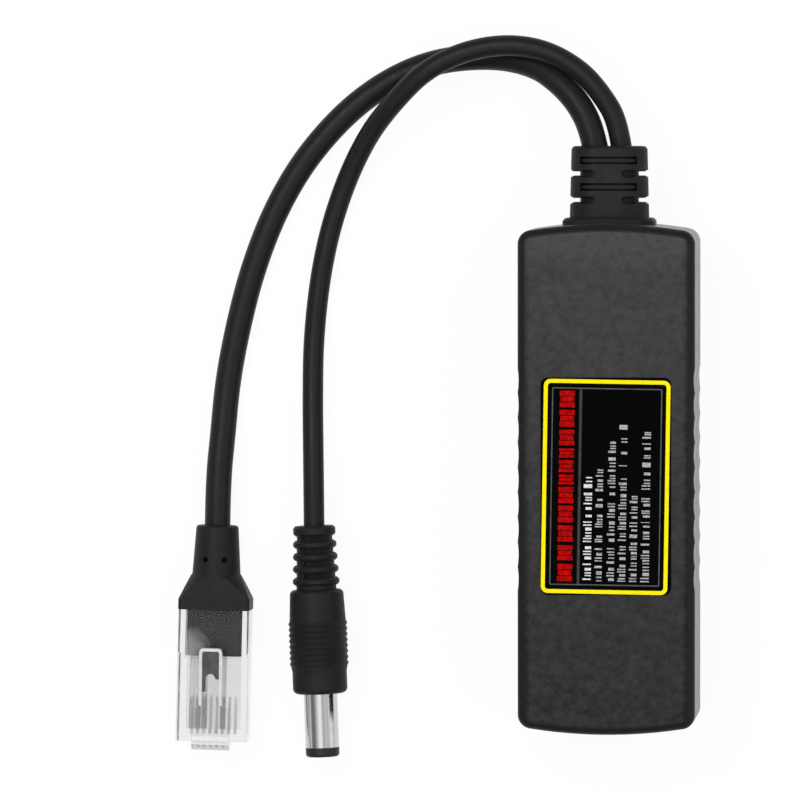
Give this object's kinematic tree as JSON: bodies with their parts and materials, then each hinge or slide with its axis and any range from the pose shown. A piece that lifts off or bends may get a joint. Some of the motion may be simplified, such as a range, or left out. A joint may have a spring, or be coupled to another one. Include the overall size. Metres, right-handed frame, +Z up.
{
  "type": "poe splitter",
  "caption": "Inline PoE splitter: dark fluted housing with a network socket at one end and two short cords at the other, ending in a network plug and a DC barrel plug.",
  "frame": {"origin": "centre of the housing's underside, which stands on the surface", "axes": "+Z up, +Y along the housing to the end where both cords leave, +X to its right seen from the socket end"},
  "size_m": [0.0855, 0.1179, 0.0232],
  "materials": {
    "housing": "finely textured dark grey moulding",
    "label_foil": "satin printed foil",
    "soft_black": "soft matt overmoulding",
    "cord_jacket": "soft satin jacket",
    "socket_moulding": "dark moulding",
    "gold_contacts": "bright plated contacts",
    "clear_plug": "clear polycarbonate",
    "wire_insulation": "coloured insulation",
    "nickel": "bright nickel plating",
    "plug_insulator": "black moulding",
    "board": "green solder mask",
    "package": "moulded epoxy",
    "tinned_leads": "tinned leads",
    "ferrite": "sintered ferrite",
    "bobbin": "moulded former",
    "winding": "yellow tape over copper",
    "capacitor_can": "sleeved can"
  },
  "bodies": {
    "root": {"lower_shell": "housing", "upper_shell": "housing", "label": "label_foil", "cable_gland": "soft_black", "jack_body": "socket_moulding", "jack_contacts": "gold_contacts", "circuit_board": "board", "data_transformer": "package", "data_transformer_leads": "tinned_leads", "transformer_core": "ferrite", "transformer_bobbin": "bobbin", "transformer_winding": "winding", "transformer_pins": "tinned_leads", "output_capacitors": "capacitor_can", "input_capacitor": "capacitor_can", "output_choke": "ferrite", "choke_winding": "winding", "bridge_rectifiers": "package", "controller_chip": "package", "controller_leads": "tinned_leads", "optocoupler": "package", "output_diode": "package", "chip_resistors": "package", "data_leads": "wire_insulation", "power_leads": "wire_insulation", "data_plug_boot": "soft_black", "data_plug_body": "clear_plug", "data_plug_contacts": "gold_contacts", "data_plug_wires": "wire_insulation", "data_plug_core": "cord_jacket", "power_plug_grip": "soft_black", "power_plug_barrel": "nickel", "power_plug_insulator": "plug_insulator", "power_plug_centre_contact": "nickel", "data_cord": "cord_jacket", "power_cord": "cord_jacket"}
  },
  "joints": []
}
